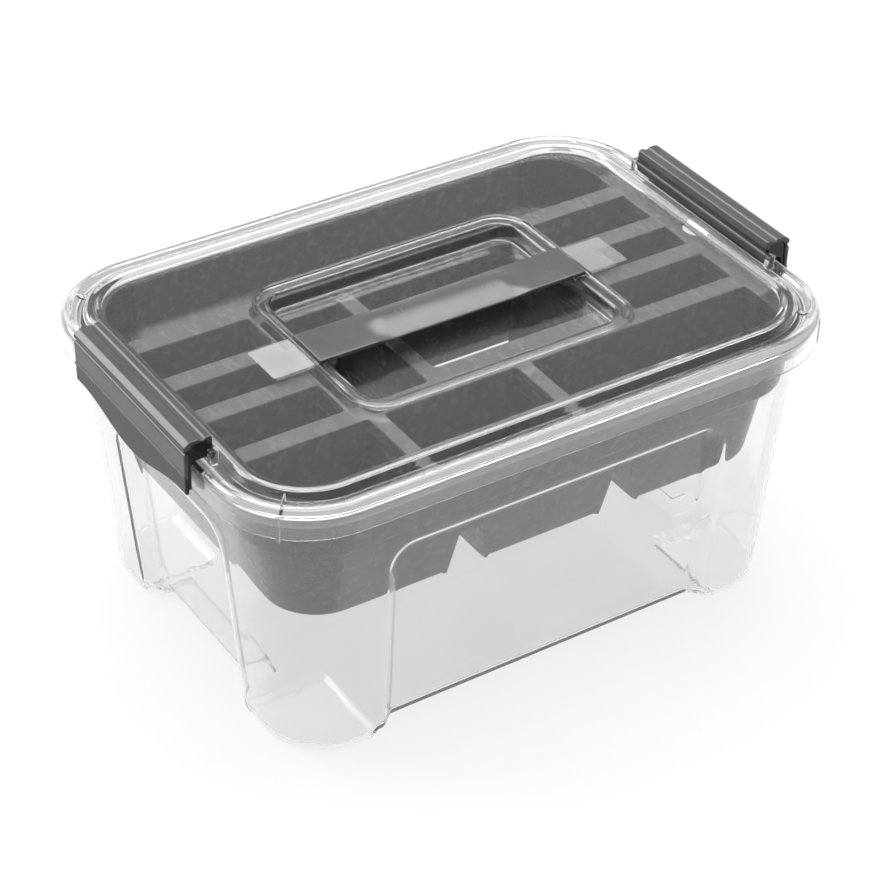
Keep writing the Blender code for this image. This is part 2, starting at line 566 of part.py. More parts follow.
# ---------------------------------------------------------------- origins on the joint axes
def set_origin(ob, p):
    """Move the origin of an object and of the guides it uses, leaving the shape in place."""
    p = Vector(p)
    ob.data.transform(Matrix.Translation(-p))
    ob.location = p


for c, s in clips:
    set_origin(c, (s * HINGE_X, 0.0, HINGE_Z))
set_origin(lid, (0.0, 0.0, TUB_RIM_Z))
for t in tray_parts:
    set_origin(t, (0.0, 0.0, TRAY_Z))
set_origin(grip, (0.0, 0.0, GRIP_END_Z))
for t in tongues:
    set_origin(t, (0.0, 0.0, GRIP_END_Z))

# ---------------------------------------------------------------- materials
dress(tub, material("clear_tub", (0.93, 0.94, 0.94), 0.04, 0.9))
dress(lid, material("clear_lid", (0.95, 0.96, 0.96), 0.03, 0.9))
for t in tray_parts:
    dress(t, material("smoke_" + t.name, (0.20, 0.20, 0.205), 0.28, 0.15))
dress(grip, material("smoke_grip", (0.16, 0.16, 0.165), 0.18))
dress(tongues[0], material("smoke_tongue_left", (0.18, 0.18, 0.185), 0.25))
dress(tongues[1], material("smoke_tongue_right", (0.18, 0.18, 0.185), 0.25))
dress(clips[0][0], material("smoke_clip_left", (0.15, 0.15, 0.155), 0.15))
dress(clips[1][0], material("smoke_clip_right", (0.15, 0.15, 0.155), 0.15))
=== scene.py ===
"""Looks of the clear storage box: filleted clear lid and tub, smoke tray, carry handle and end clips."""
import bpy
import bmesh
import math
import numpy as np
from mathutils import Matrix, Vector


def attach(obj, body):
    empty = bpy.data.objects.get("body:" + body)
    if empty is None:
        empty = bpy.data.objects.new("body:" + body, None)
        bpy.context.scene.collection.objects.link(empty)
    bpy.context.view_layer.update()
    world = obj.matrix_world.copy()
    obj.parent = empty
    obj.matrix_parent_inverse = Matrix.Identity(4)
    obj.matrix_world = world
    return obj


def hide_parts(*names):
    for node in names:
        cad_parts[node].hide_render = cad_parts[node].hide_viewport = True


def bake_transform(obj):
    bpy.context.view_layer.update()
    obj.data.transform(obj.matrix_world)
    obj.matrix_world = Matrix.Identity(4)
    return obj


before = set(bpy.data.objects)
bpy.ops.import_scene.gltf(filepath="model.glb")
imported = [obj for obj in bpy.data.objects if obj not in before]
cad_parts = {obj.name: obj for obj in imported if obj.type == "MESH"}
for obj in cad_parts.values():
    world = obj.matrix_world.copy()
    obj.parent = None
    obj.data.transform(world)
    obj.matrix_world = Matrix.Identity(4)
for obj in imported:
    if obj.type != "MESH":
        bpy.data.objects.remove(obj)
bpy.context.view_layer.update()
scene = bpy.context.scene
PIECES = bpy.data.collections.new("looks")
scene.collection.children.link(PIECES)

# ---------------------------------------------------------------- dimensions, metres
WALL = 0.0022
TUB_A0, TUB_B0, TUB_R0 = 0.1725, 0.1235, 0.040
TUB_KA, TUB_KB, TUB_KR = 0.1017, 0.0444, 0.067
TUB_TOP = 0.1725
FLANGE_A, FLANGE_B, FLANGE_R = 0.1973, 0.1383, 0.0563
LID_A, LID_B, LID_R = 0.2000, 0.1410, 0.0590
PLATE_Z = 0.1865
POCKET_A, POCKET_B, POCKET_R = 0.0935, 0.0700, 0.0205
POCKET_Z = 0.1745
TRAY_Z, TRAY_MID_Z = 0.1790, 0.1705
TRAY_FLOOR = 0.0902
HINGE_X, HINGE_Z = 0.1896, 0.1928
CLIP_HALF = 0.0650


# ---------------------------------------------------------------- mesh helpers
def put(me, name):
    ob = bpy.data.objects.new(name, me)
    PIECES.objects.link(ob)
    return ob


def outward(me):
    bm = bmesh.new()
    bm.from_mesh(me)
    if bm.calc_volume(signed=True) < 0:
        bmesh.ops.reverse_faces(bm, faces=bm.faces)
        bm.to_mesh(me)
    bm.free()


def smooth(ob, angle=35.0, weighted=False):
    ob.data.shade_smooth()
    ob.data.set_sharp_from_angle(angle=math.radians(angle))
    if weighted:
        m = ob.modifiers.new("even_normals", "WEIGHTED_NORMAL")
        m.keep_sharp = True
        m.weight = 80
    return ob


def skin(name, rings, loop=False):
    """Closed body through rings of equal length; its ends are capped, or joined when loop is true."""
    n, m = len(rings[0]), len(rings)
    co = np.concatenate(rings)
    i = np.arange(m if loop else m - 1)[:, None] * n
    j = np.arange(n)[None, :]
    nxt = (i + n) % (m * n)
    faces = np.stack([i + j, i + (j + 1) % n, nxt + (j + 1) % n, nxt + j], -1).reshape(-1, 4).tolist()
    if not loop:
        faces += [list(range(n))[::-1], list(range((m - 1) * n, m * n))]
    me = bpy.data.meshes.new(name)
    me.from_pydata(co.tolist(), [], faces)
    me.update()
    outward(me)
    return put(me, name)


def rounded(rows, k=4):
    """Rows of numbers, the last being a corner radius; the path through them with each corner eased.  The first and fourth
    numbers are the half length and the height, which distances are measured in."""
    out = []
    for i, row in enumerate(rows):
        p, rad = np.array(row[:-1], float), row[-1]
        if i in (0, len(rows) - 1) or rad <= 0:
            out.append(p)
            continue
        a, b = np.array(rows[i - 1][:-1], float) - p, np.array(rows[i + 1][:-1], float) - p
        la, lb = math.hypot(a[0], a[-1]), math.hypot(b[0], b[-1])
        d = min(rad, 0.47 * la, 0.47 * lb)
        p0, p2 = p + a / la * d, p + b / lb * d
        for j in range(k + 1):
            t = j / k
            out.append((1 - t) ** 2 * p0 + 2 * t * (1 - t) * p + t * t * p2)
    return out


class Ring:
    """Points round a rounded rectangle: arcs at angs degrees in each corner, and stops along the straights."""

    def __init__(self, us, vs, angs, share=True):
        self.us, self.vs, self.angs, self.share = np.array(us, float), np.array(vs, float), np.array(angs, float), share
        na, nu, nv = len(self.angs), len(self.us), len(self.vs)
        self.kind = np.concatenate([[0] * na, [1] * nu, [0] * na, [2] * nv, [0] * na, [3] * nu, [0] * na, [4] * nv])
        self.ang = np.concatenate([self.angs, [-1] * nu, self.angs, [-1] * nv, self.angs, [-1] * nu, self.angs, [-1] * nv])

    def xy(self, a, b, r, cx=0.0, cy=0.0):
        r = max(min(r, a - 1e-4, b - 1e-4), 1e-4)
        la, lb = a - r, b - r
        u = self.us * la if self.share else self.us
        v = self.vs * lb if self.share else self.vs
        bits = []
        for t0, sx, sy in ((0, 1, 1), (90, -1, 1), (180, -1, -1), (270, 1, -1)):
            t = np.radians(t0 + self.angs)
            bits.append(np.stack([sx * la + r * np.cos(t), sy * lb + r * np.sin(t)], 1))
        rows = [bits[0], np.stack([u[::-1], np.full(len(u), b)], 1), bits[1], np.stack([np.full(len(v), -a), v[::-1]], 1),
                bits[2], np.stack([u, np.full(len(u), -b)], 1), bits[3], np.stack([np.full(len(v), a), v], 1)]
        return np.concatenate(rows) + np.array([cx, cy])

    def at(self, a, b, r, z, cx=0.0, cy=0.0):
        xy = self.xy(a, b, r, cx, cy)
        return np.column_stack([xy, np.full(len(xy), z)])


def step(x, lo, hi):
    t = np.clip((x - lo) / (hi - lo), 0, 1)
    return t * t * (3 - 2 * t)


def cut(ob, cutters, op="DIFFERENCE"):
    """Booleans, applied, with the cutters removed."""
    for c in cutters:
        m = ob.modifiers.new("cut", "BOOLEAN")
        m.operation, m.solver, m.object = op, "EXACT", c
    bpy.context.view_layer.update()
    me = bpy.data.meshes.new_from_object(ob.evaluated_get(bpy.context.evaluated_depsgraph_get()))
    ob.modifiers.clear()
    old, ob.data = ob.data, me
    bpy.data.meshes.remove(old)
    for c in cutters:
        bpy.data.objects.remove(c, do_unlink=True)
    return ob


def block(name, x0, x1, y0, y1, z0, z1, r=0.001, soft=0.0006, seg=6):
    """Rounded block: upright corners of radius r and eased top and bottom edges."""
    cx, cy, a, b = (x0 + x1) / 2, (y0 + y1) / 2, (x1 - x0) / 2, (y1 - y0) / 2
    g = Ring([], [], np.linspace(0, 90, seg + 1))
    rows = rounded([(a - 2 * soft, b - 2 * soft, max(r - soft, 2e-4), z0, 0), (a, b, r, z0, soft), (a, b, r, z1, soft), (a - 2 * soft, b - 2 * soft, max(r - soft, 2e-4), z1, 0)])
    return skin(name, [g.at(*q, cx, cy) for q in rows])


# ---------------------------------------------------------------- materials
def nodes_of(name):
    m = bpy.data.materials.new(name)
    m.use_nodes = True
    t = m.node_tree
    return m, t, t.nodes["Principled BSDF"]


def add(t, kind, **sockets):
    n = t.nodes.new(kind)
    for k, v in sockets.items():
        n.inputs[k.replace("_", " ")].default_value = v
    return n


def noise(t, coords, scale, detail=3.0, rough=0.5, stretch=None):
    """Noise on object coordinates, in features per metre; stretch scales each axis."""
    src = coords
    if stretch:
        mp = t.nodes.new("ShaderNodeMapping")
        mp.inputs["Scale"].default_value = stretch
        t.links.new(coords, mp.inputs["Vector"])
        src = mp.outputs["Vector"]
    n = add(t, "ShaderNodeTexNoise", Scale=scale, Detail=detail, Roughness=rough)
    t.links.new(src, n.inputs["Vector"])
    return n.outputs["Fac"]


def ramp(t, fac, stops):
    r = t.nodes.new("ShaderNodeValToRGB")
    e = r.color_ramp.elements
    while len(e) < len(stops):
        e.new(0.5)
    for k, (pos, c) in enumerate(stops):
        e[k].position = pos
        e[k].color = (*c, 1) if isinstance(c, tuple) else (c, c, c, 1)
    t.links.new(fac, r.inputs["Fac"])
    return r.outputs["Color"]


def bumped(t, layers):
    """Chain of bumps: (height, strength, distance)."""
    last = None
    for h, s, d in layers:
        b = add(t, "ShaderNodeBump", Strength=s, Distance=d)
        t.links.new(h, b.inputs["Height"])
        if last:
            t.links.new(last, b.inputs["Normal"])
        last = b.outputs["Normal"]
    return last


def clear_plastic(name, tone, ior=1.49, wave=0.35, tint=(1.0, 1.0, 1.0), clear=1.0):
    """Clear moulded plastic: slow waviness, faint flow marks and fine handling scuffs."""
    m, t, p = nodes_of(name)
    co = t.nodes.new("ShaderNodeTexCoord").outputs["Object"]
    cloud = noise(t, co, 14.0, 2.0)
    lo, hi = tone - 0.018, tone + 0.012
    t.links.new(ramp(t, cloud, [(0.25, tuple(lo * c for c in tint)), (0.75, tuple(min(1.0, hi * c) for c in tint))]), p.inputs["Base Color"])
    flow = noise(t, co, 9.0, 2.0, 0.4, (1.0, 2.2, 3.0))
    scuff = noise(t, co, 110.0, 3.0, 0.5, (1.0, 0.15, 1.0))
    t.links.new(bumped(t, [(flow, wave, 0.0010), (scuff, 0.004, 0.0001)]), p.inputs["Normal"])
    p.inputs["Roughness"].default_value = 0.02
    p.inputs["IOR"].default_value = ior
    p.inputs["Transmission Weight"].default_value = clear
    return m


def grain(t, co, fine=1.0):
    """Moulded grain, as a height."""
    return noise(t, co, 2600.0 * fine, 2.0, 0.55)


def smoke_plastic(name, lo, hi, rough, coat=0.0, grain_s=0.10, wave=0.08, ior=1.5, top=None, shade_band=None, corner=None, groove_shade=None):
    """Dark smoke plastic: cloudy colour, satin grain, slow sink marks and scuffed highlights.
    top paints a lighter colour on faces that look up, a painted highlight; shade_band=(z, width, low colour) paints
    shade on what lies below z; groove_shade=(z0, z1, low colour) paints shade between two heights; corner paints shade
    at the tray's rounded corners."""
    m, t, p = nodes_of(name)
    co = t.nodes.new("ShaderNodeTexCoord").outputs["Object"]
    cloud = noise(t, co, 30.0, 4.0, 0.6)
    col = ramp(t, cloud, [(0.3, lo), (0.7, hi)])
    sep = t.nodes.new("ShaderNodeSeparateXYZ")
    t.links.new(co, sep.inputs["Vector"])
    # painted shade: the colour darkens below z, standing in for the darker lower outer face of the clip
    if shade_band:
        z, width, low = shade_band
        mr = add(t, "ShaderNodeMapRange", From_Min=z - width, From_Max=z)
        t.links.new(sep.outputs["Z"], mr.inputs["Value"])
        mx = t.nodes.new("ShaderNodeMix")
        mx.data_type = "RGBA"
        t.links.new(mr.outputs["Result"], mx.inputs["Factor"])
        mx.inputs[6].default_value = (low, low, low, 1)
        t.links.new(col, mx.inputs[7])
        col = mx.outputs[2]
    # painted shade: darker colour between two heights, in the groove under the clip's top
    if groove_shade:
        g0, g1, low = groove_shade
        up = add(t, "ShaderNodeMapRange", From_Min=g0, From_Max=g0 + 0.0004)
        dn = add(t, "ShaderNodeMapRange", From_Min=g1, From_Max=g1 - 0.0004)
        t.links.new(sep.outputs["Z"], up.inputs["Value"])
        t.links.new(sep.outputs["Z"], dn.inputs["Value"])
        both = t.nodes.new("ShaderNodeMath")
        both.operation = "MULTIPLY"
        t.links.new(up.outputs["Result"], both.inputs[0])
        t.links.new(dn.outputs["Result"], both.inputs[1])
        mx = t.nodes.new("ShaderNodeMix")
        mx.data_type = "RGBA"
        t.links.new(both.outputs[0], mx.inputs["Factor"])
        t.links.new(col, mx.inputs[6])
        mx.inputs[7].default_value = (low, low, low, 1)
        col = mx.outputs[2]
    # painted highlight: faces that look up, high in the tray, get a lighter colour standing in for the overhead light
    # on them
    if top:
        geo = t.nodes.new("ShaderNodeNewGeometry")
        s2 = t.nodes.new("ShaderNodeSeparateXYZ")
        t.links.new(geo.outputs["Normal"], s2.inputs["Vector"])
        mr = add(t, "ShaderNodeMapRange", From_Min=0.55, From_Max=0.95)
        t.links.new(s2.outputs["Z"], mr.inputs["Value"])
        zz = add(t, "ShaderNodeMapRange", From_Min=TRAY_FLOOR + 0.035, From_Max=TRAY_MID_Z - 0.006)
        t.links.new(sep.outputs["Z"], zz.inputs["Value"])
        both = t.nodes.new("ShaderNodeMath")
        both.operation = "MULTIPLY"
        t.links.new(mr.outputs["Result"], both.inputs[0])
        t.links.new(zz.outputs["Result"], both.inputs[1])
        mx = t.nodes.new("ShaderNodeMix")
        mx.data_type = "RGBA"
        t.links.new(both.outputs[0], mx.inputs["Factor"])
        t.links.new(col, mx.inputs[6])
        mx.inputs[7].default_value = (top, top, top, 1)
        col = mx.outputs[2]
    if corner is not None:  # painted shade: the colour darkens at the tray's rounded corners
        both = None
        for axis, lo_, hi_ in (("X", 0.1365, 0.1400), ("Y", 0.0790, 0.0825)):
            ab = t.nodes.new("ShaderNodeMath")
            ab.operation = "ABSOLUTE"
            t.links.new(sep.outputs[axis], ab.inputs[0])
            mr = add(t, "ShaderNodeMapRange", From_Min=lo_, From_Max=hi_)
            t.links.new(ab.outputs[0], mr.inputs["Value"])
            if both is None:
                both = mr.outputs["Result"]
            else:
                mu = t.nodes.new("ShaderNodeMath")
                mu.operation = "MULTIPLY"
                t.links.new(both, mu.inputs[0])
                t.links.new(mr.outputs["Result"], mu.inputs[1])
                both = mu.outputs[0]
        mx = t.nodes.new("ShaderNodeMix")
        mx.data_type = "RGBA"
        t.links.new(both, mx.inputs["Factor"])
        t.links.new(col, mx.inputs[6])
        mx.inputs[7].default_value = (corner, corner, corner, 1)
        col = mx.outputs[2]
    t.links.new(col, p.inputs["Base Color"])
    scuff = noise(t, co, 160.0, 5.0, 0.65, (1.0, 0.35, 1.0))
    t.links.new(ramp(t, scuff, [(0.3, max(rough - 0.03, 0.02)), (0.7, rough + 0.04)]), p.inputs["Roughness"])
    sink = noise(t, co, 22.0, 2.0)
    t.links.new(bumped(t, [(sink, wave, 0.0012), (grain(t, co), grain_s, 0.00010)]), p.inputs["Normal"])
    p.inputs["IOR"].default_value = ior
    p.inputs["Coat Weight"].default_value = coat
    p.inputs["Coat Roughness"].default_value = 0.06
    return m


def dress(ob, mat):
    ob.data.materials.clear()
    ob.data.materials.append(mat)
    return ob


# ---------------------------------------------------------------- tub
def spaced(*bands):
    """Stops: (start, end, step) bands joined, mirrored about zero."""
    v = []
    for lo, hi, s in bands:
        v += list(np.arange(lo, hi, s))
    v = np.array(sorted(set(np.round(v, 6))))
    return np.concatenate([-v[::-1], v[v > 1e-6]]) if v[0] <= 1e-6 else np.concatenate([-v[::-1], v])


tub_grid = Ring(spaced((0.0, 0.088, 0.0060), (0.088, 0.1200, 0.0012), (0.1200, 0.1290, 0.0030)),
                spaced((0.0, 0.038, 0.0050), (0.038, 0.0680, 0.0012), (0.0680, 0.0780, 0.0030)), np.linspace(0, 90, 17), share=False)


def tub_dims(z, inset):
    return TUB_A0 + TUB_KA * z - inset, TUB_B0 + TUB_KB * z - inset, TUB_R0 + TUB_KR * z - inset


def ease(t, e=0.07):
    return (np.sqrt(t * t + e * e) - np.sqrt((t - 1) ** 2 + e * e) + 1) / 2


def sunk(u, z, half, top, r=0.018, ramp_w=0.0090):
    qx, qz = np.abs(u) - (half - r), z - (top - r)
    sd = np.hypot(np.maximum(qx, 0), np.maximum(qz, 0)) + np.minimum(np.maximum(qx, qz), 0) - r
    return 0.0080 * ease(-sd / ramp_w)


def lifted(x, y):
    """Underside height: feet at the corners, a raised floor, an arch under each short side."""
    foot = step(np.abs(x), 0.1190, 0.1225) * step(np.abs(y), 0.0620, 0.0655)
    arch = step(-np.abs(y), -0.0500, -0.0440) * step(np.abs(x), 0.1435, 0.1475)
    return 0.0040 * (1 - foot) * (1 - arch) + 0.0140 * arch


def tub_ring(z, inset):
    a, b, r = tub_dims(z, inset)
    xy = tub_grid.xy(a, b, r)
    k = tub_grid.kind
    fade = 1.0 - step(z, 0.150, 0.168)
    d_long = sunk(xy[:, 0], z, 0.1155, 0.1380) * fade
    d_short = sunk(xy[:, 1], z, 0.0620, 0.1360) * fade
    xy[:, 1] -= np.where(k == 1, d_long, 0) - np.where(k == 3, d_long, 0)
    xy[:, 0] -= np.where(k == 4, d_short, 0) - np.where(k == 2, d_short, 0)
    h = lifted(xy[:, 0], xy[:, 1])
    zz = z + h * max(0.0, 1.0 - z / 0.034)
    return np.column_stack([xy, zz])


def floor_rows(base, up):
    rows = []
    for k in np.concatenate([np.linspace(0.995, 0.62, 48), np.linspace(0.60, 0.03, 22)]):
        xy = base[:, :2] * k
        rows.append(np.column_stack([xy, lifted(xy[:, 0], xy[:, 1]) + up]))
    return rows


def corner_steps(r, n=5):
    return [(r * (1 - math.cos(t)), r * (1 - math.sin(t))) for t in np.linspace(0, math.pi / 2, n + 1)]


z_rows = sorted(set(np.round(np.concatenate([np.arange(0.0030, 0.022, 0.0016), np.arange(0.022, 0.104, 0.0050), np.arange(0.104, 0.142, 0.0012), np.arange(0.142, 0.1725, 0.0038)]), 6)))
outer = [tub_ring(0.0030 - dz, ins) for ins, dz in [(c[1], 0.0030 - c[0]) for c in corner_steps(0.0030)]]
outer = [tub_ring(max(c[0], 0.0), c[1]) for c in corner_steps(0.0030)] + [tub_ring(z, 0.0) for z in z_rows[1:]]
under = floor_rows(outer[0], 0.0)[::-1]
ta, tb, tr = tub_dims(TUB_TOP, 0.0)
rim = rounded([
    (ta, tb, tr, TUB_TOP - 0.001, 0), (ta, tb, tr, TUB_TOP, 0.001), (ta + 0.0020, tb + 0.0020, tr + 0.0020, 0.1755, 0.001),
    (ta + 0.0020, tb + 0.0020, tr + 0.0020, 0.1805, 0.0016), (FLANGE_A - 0.0014, FLANGE_B - 0.0014, FLANGE_R - 0.0014, 0.1803, 0.0014),
    (FLANGE_A - 0.0010, FLANGE_B - 0.0010, FLANGE_R - 0.0010, 0.1755, 0.0010), (FLANGE_A, FLANGE_B, FLANGE_R, 0.1756, 0.0008),
    (FLANGE_A, FLANGE_B, FLANGE_R, 0.1828, 0.0018), (ta - 0.0002, tb - 0.0002, tr - 0.0002, 0.1828, 0.0006),
    (ta - 0.0002, tb - 0.0002, tr - 0.0002, 0.1768, 0.0004), (ta - WALL, tb - WALL, tr - WALL, 0.1764, 0.0005), (ta - WALL, tb - WALL, tr - WALL, 0.1735, 0)])
inner = [tub_ring(z, WALL) for z in z_rows[::-1] if z > 0.0062]
inner += [tub_ring(WALL + c[0], WALL + c[1]) for c in corner_steps(0.0040)[::-1]]
top_floor = floor_rows(inner[-1], WALL)
for row in (inner[-1],):
    row[:, 2] = lifted(row[:, 0], row[:, 1]) + WALL
tub = skin("tub_shell", under + outer + [tub_grid.at(*q) for q in rim] + inner + top_floor)
smooth(tub, 60)
dress(tub, clear_plastic("clear_tub_plastic", 0.965, wave=0.02, clear=0.95))
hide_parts("tub")
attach(tub, "tub")

# ---------------------------------------------------------------- lid
angs = np.array(sorted(set(list(np.linspace(0, 90, 25)) + [43.8, 44.2, 44.5, 45.0, 45.5, 45.8, 46.2])))
lid_grid = Ring(np.linspace(-0.97, 0.97, 15), np.linspace(-0.96, 0.96, 11), angs)
rib_w = np.where(lid_grid.ang >= 0, 1.0 - step(np.abs(lid_grid.ang - 45.0), 0.55, 1.15), 0.0)


def off(o, z, rad):
    return (LID_A - o, LID_B - o, LID_R - o, z, rad)


def pok(q, z, rad):
    return (POCKET_A - q, POCKET_B - q, POCKET_R - q, z, rad)


below = rounded([pok(0.0160, 0.1727, 0), pok(0.0130, 0.1727, 0), pok(0.0066, 0.1727, 0.0020), pok(0.0052, 0.1832, 0.0007), pok(-0.0022, 0.1832, 0.0007),
                 pok(-0.0024, 0.1845, 0.0006), pok(-0.0060, 0.1845, 0)])
below += rounded([off(0.0300, 0.1845, 0), off(0.0224, 0.1845, 0.0010), off(0.0196, 0.1887, 0.0012), off(0.0164, 0.1887, 0.0010), off(0.0140, 0.1831, 0.0009),
                  off(0.0022, 0.1831, 0.0009), off(0.0020, 0.1685, 0.0003), off(0.0001, 0.1685, 0.0005), off(0.0, 0.1762, 0)])


def hump(o0, z0, o1, z1, n, quarter=1.0):
    """Part of an ellipse from an upright start at (o0, z0) over to its level crest at (o1, z1)."""
    return [off(o0 + (o1 - o0) * (1 - math.cos(w)), z0 + (z1 - z0) * math.sin(w), 0) for w in np.linspace(0, math.pi / 2 * quarter, n)]


edge = [off(0.0, 0.1764, 0)] + hump(0.0, 0.1830, 0.0050, 0.1877, 11)
edge += [off(0.0066, 0.1872, 0), off(0.0078, 0.1862, 0.0006), off(0.0094, 0.1851, 0.0012), off(0.0130, 0.1851, 0.0012), off(0.0139, 0.1868, 0.0004)]
crest = hump(0.0139, 0.1868, 0.0189, 0.1910, 11)[1:] + hump(0.0239, 0.1867, 0.0189, 0.1910, 11)[::-1][1:]
above = rounded(edge[:-1] + [edge[-1]] + crest + [off(0.0244, 0.1865, 0.0003), off(0.0300, 0.1865, 0)], 5)
above += rounded([pok(-0.0060, 0.1865, 0), pok(-0.0004, 0.1865, 0.0014), pok(0.0014, 0.1850, 0.0012), pok(0.0073, 0.1850, 0.0020), pok(0.0082, 0.1745, 0.0032),
                  pok(0.0134, 0.1745, 0), pok(0.0160, 0.1745, 0)], 7)
rings = []
for q in below + above:
    ring = lid_grid.at(*q)
    o = LID_A - q[0]
    if o < 0.0150:
        if q[3] > 0.1840 and 0.0070 < o:
            ring[:, 2] += rib_w * max(0.0, 0.1872 + (o - 0.0070) / 0.0080 * 0.0016 - q[3])
        if o < 0.0004 and q[3] < 0.1836:
            d = ring[:, :2] - np.sign(ring[:, :2]) * np.array([LID_A - LID_R, LID_B - LID_R])
            d /= np.maximum(np.linalg.norm(d, axis=1), 1e-9)[:, None]
            ring[:, :2] += d * (rib_w * 0.0005)[:, None]
        if q[3] < 0.1700:
            ring[:, 2] -= rib_w * 0.0028
    rings.append(ring)
lid = skin("lid_shell", rings)
slots = [block("slot_%d" % k, min(s * 0.0800, s * 0.0975), max(s * 0.0800, s * 0.0975), -0.0132, 0.0132, 0.1788, 0.1822, 0.0006, 0.0003, 2) for k, s in enumerate((-1, 1))]
slots += [block("seat_%d" % k, min(s * 0.0950, s * 0.1225), max(s * 0.0950, s * 0.1225), -0.0158, 0.0158, PLATE_Z - 0.0006, PLATE_Z + 0.004, 0.0016, 0.0003, 4) for k, s in enumerate((-1, 1))]
cut(lid, slots)
smooth(lid, 50, weighted=True)
lid_mat = clear_plastic("clear_lid_plastic", 0.975, wave=0.010, clear=0.99)
dress(lid, lid_mat)
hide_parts("lid")
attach(lid, "lid")

# lugs that hold the clip pins
for i, sx in enumerate((-1, 1)):
    for j, sy in enumerate((-1, 1)):
        y0, y1 = sorted((sy * (CLIP_HALF + 0.0003), sy * (CLIP_HALF + 0.0042)))
        lug = block("lid_lug_%d%d" % (i, j), sx * HINGE_X - 0.0030, sx * HINGE_X + 0.0030, y0, y1, 0.1852, HINGE_Z + 0.0024, 0.0010, 0.0006)
        smooth(lug, 40)
        dress(lug, lid_mat)
        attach(lug, "lid")

# ---------------------------------------------------------------- tray
body_grid = Ring(np.linspace(-0.9, 0.9, 7), np.linspace(-0.9, 0.9, 5), np.linspace(0, 90, 15))
tray_rows = rounded([
    (0.1550, 0.0990, 0.024, 0.0880, 0), (0.1645, 0.1085, 0.033, 0.0880, 0.0040), (0.1738, 0.1166, 0.040, 0.1405, 0.0020),
    (0.1815, 0.1250, 0.0447, 0.1432, 0.0018), (0.1830, 0.1265, 0.0455, 0.1771, 0.0006), (0.1893, 0.1304, 0.0515, 0.1771, 0.0005),
    (0.1893, 0.1304, 0.0515, 0.1790, 0.0009), (0.1800, 0.1220, 0.0420, 0.1790, 0)], 5)
tray = skin("tray_body", [body_grid.at(*q) for q in tray_rows])


def cutter(name, x0, x1, y0, y1, top, r=0.0026):
    """A compartment: eased at its floor, drafted, and flared by a millimetre at the top edge."""
    cx, cy, a, b = (x0 + x1) / 2, (y0 + y1) / 2, (x1 - x0) / 2, (y1 - y0) / 2
    g = Ring([], [], np.linspace(0, 90, 6))
    f, z0 = 0.0028, TRAY_FLOOR
    rows = rounded([(a - f - 0.0050, b - f - 0.0050, max(r - 0.0016, 0.0008), z0, 0), (a - f, b - f, r, z0, 0.0036), (a, b, r, top - 0.0004, 0.0016),
                    (a + 0.0016, b + 0.0016, r + 0.0016, top + 0.0008, 0.0002), (a + 0.0016, b + 0.0016, r + 0.0016, top + 0.0060, 0)], 4)
    return skin(name, [g.at(*q, cx, cy) for q in rows])


def inner_body():
    g = Ring([0.0], [0.0], np.linspace(0, 90, 13))
    rows = rounded([
        (0.1540, 0.0980, 0.026, TRAY_FLOOR - 0.0002, 0), (0.1622, 0.1062, 0.031, TRAY_FLOOR - 0.0001, 0.0030), (0.1706, 0.1144, 0.038, 0.1410, 0.0020),
        (0.1711, 0.1241, 0.0395, 0.1450, 0.0020), (0.1712, 0.1245, 0.0395, TRAY_Z - 0.0004, 0.0016), (0.1728, 0.1261, 0.0411, TRAY_Z + 0.0008, 0.0002), (0.1728, 0.1261, 0.0411, TRAY_Z + 0.0100, 0)], 4)
    return skin("tray_inside", [g.at(*q) for q in rows])


o0, o1, i0, i1, f0, f1, h = 0.0545, 0.0685, 0.0110, 0.0255, -0.0875, 0.0110, 0.0050
edge_cells = [("back", -0.182, 0.182, o1, 0.136), ("fa", -0.182, f0 - h, -0.136, -o1), ("fb", f0 + h, f1 - h, -0.136, -o1), ("fc", f1 + h, 0.182, -0.136, -o1)]
for s in (-1, 1):
    xa, xb = sorted((s * 0.0995, s * 0.182))
    edge_cells += [("mb%d" % s, xa, xb, i1, o0), ("mc%d" % s, xa, xb, -i0, i0), ("mf%d" % s, xa, xb, -o0, -i1)]
cells = []
for n, xa, xb, ya, yb in edge_cells:
    c = cutter("cell_" + n, xa, xb, ya, yb, TRAY_Z)
    cells.append(cut(c, [inner_body()], "INTERSECT"))
cells.append(cutter("well_a", -0.0905, -0.0380, -0.0440, 0.0580, TRAY_MID_Z))
cells.append(cutter("well_b", -0.0270, 0.0905, -0.0340, 0.0580, TRAY_MID_Z))
g = Ring([], [], np.linspace(0, 90, 9))
cells.append(skin("middle", [g.at(*q) for q in rounded([(0.0880, 0.0570, 0.008, TRAY_MID_Z, 0), (0.0962, 0.0652, 0.0105, TRAY_MID_Z, 0.0012), (0.0970, 0.0660, 0.0120, TRAY_Z - 0.0004, 0.0012),
                                                        (0.0984, 0.0674, 0.0134, TRAY_Z + 0.0008, 0.0002), (0.0984, 0.0674, 0.0134, TRAY_Z + 0.0060, 0)])]))


def wedge(name, x, half0, half1, z0, z1, y0, y1, r):
    """Upside-down trough with eased edges, running along y."""
    prof = rounded([(x - half0, z0, 0), (x - half1, z1, r), (x + half1, z1, r), (x + half0, z0, 0)], 5)
    return skin(name, [np.array([(q[0], y, q[1]) for q in prof]) for y in (y0, y1)])


